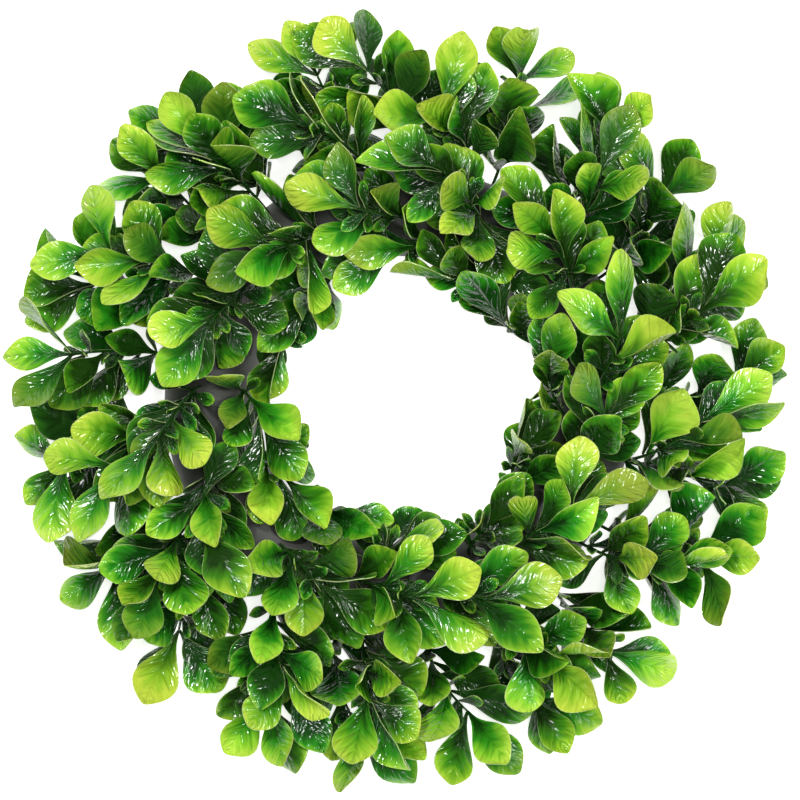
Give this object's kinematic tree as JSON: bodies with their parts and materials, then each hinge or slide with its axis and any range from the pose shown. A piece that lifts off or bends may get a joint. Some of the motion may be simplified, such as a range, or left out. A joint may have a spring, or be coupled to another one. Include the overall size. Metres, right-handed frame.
{
  "type": "boxwood wreath",
  "caption": "Artificial boxwood wreath: glossy green spoon-shaped leaves on short plastic sprays that stand in a dark half-round ring, with an open middle.",
  "frame": {"origin": "middle of the wreath's hole, at the level of the ring's flat back, on which the wreath lies", "axes": "+Z out of the flat back, through the hole, towards the viewer; +X to the right and +Y up in the picture"},
  "size_m": [0.4032, 0.4023, 0.0823],
  "materials": {
    "ring_plastic": "dark warm grey moulded plastic, smooth and matt",
    "leaf_plastic": "glossy moulded leaves, dark green at the base and tinted yellow-green towards the tip"
  },
  "bodies": {
    "root": {"ring_base": "ring_plastic", "outer_spray_01": "leaf_plastic", "outer_spray_02": "leaf_plastic", "outer_spray_03": "leaf_plastic", "outer_spray_04": "leaf_plastic", "outer_spray_05": "leaf_plastic", "outer_spray_06": "leaf_plastic", "outer_spray_07": "leaf_plastic", "outer_spray_08": "leaf_plastic", "outer_spray_09": "leaf_plastic", "outer_spray_10": "leaf_plastic", "outer_spray_11": "leaf_plastic", "outer_spray_12": "leaf_plastic", "outer_spray_13": "leaf_plastic", "outer_spray_14": "leaf_plastic", "outer_spray_15": "leaf_plastic", "outer_spray_16": "leaf_plastic", "outer_spray_17": "leaf_plastic", "outer_spray_18": "leaf_plastic", "outer_spray_19": "leaf_plastic", "outer_spray_20": "leaf_plastic", "outer_spray_21": "leaf_plastic", "shoulder_spray_01": "leaf_plastic", "shoulder_spray_02": "leaf_plastic", "shoulder_spray_03": "leaf_plastic", "shoulder_spray_04": "leaf_plastic", "shoulder_spray_05": "leaf_plastic", "shoulder_spray_06": "leaf_plastic", "shoulder_spray_07": "leaf_plastic", "shoulder_spray_08": "leaf_plastic", "shoulder_spray_09": "leaf_plastic", "shoulder_spray_10": "leaf_plastic", "shoulder_spray_11": "leaf_plastic", "shoulder_spray_12": "leaf_plastic", "shoulder_spray_13": "leaf_plastic", "crown_spray_01": "leaf_plastic", "crown_spray_02": "leaf_plastic", "crown_spray_03": "leaf_plastic", "crown_spray_04": "leaf_plastic", "crown_spray_05": "leaf_plastic", "crown_spray_06": "leaf_plastic", "crown_spray_07": "leaf_plastic", "crown_spray_08": "leaf_plastic", "crown_spray_09": "leaf_plastic", "crown_spray_10": "leaf_plastic", "crown_spray_11": "leaf_plastic", "crown_spray_12": "leaf_plastic", "crown_spray_13": "leaf_plastic", "inner_spray_01": "leaf_plastic", "inner_spray_02": "leaf_plastic", "inner_spray_03": "leaf_plastic", "inner_spray_04": "leaf_plastic", "inner_spray_05": "leaf_plastic", "inner_spray_06": "leaf_plastic", "inner_spray_07": "leaf_plastic", "inner_spray_08": "leaf_plastic", "inner_spray_09": "leaf_plastic", "inner_spray_10": "leaf_plastic", "inner_spray_11": "leaf_plastic", "inner_spray_12": "leaf_plastic"}
  },
  "joints": []
}
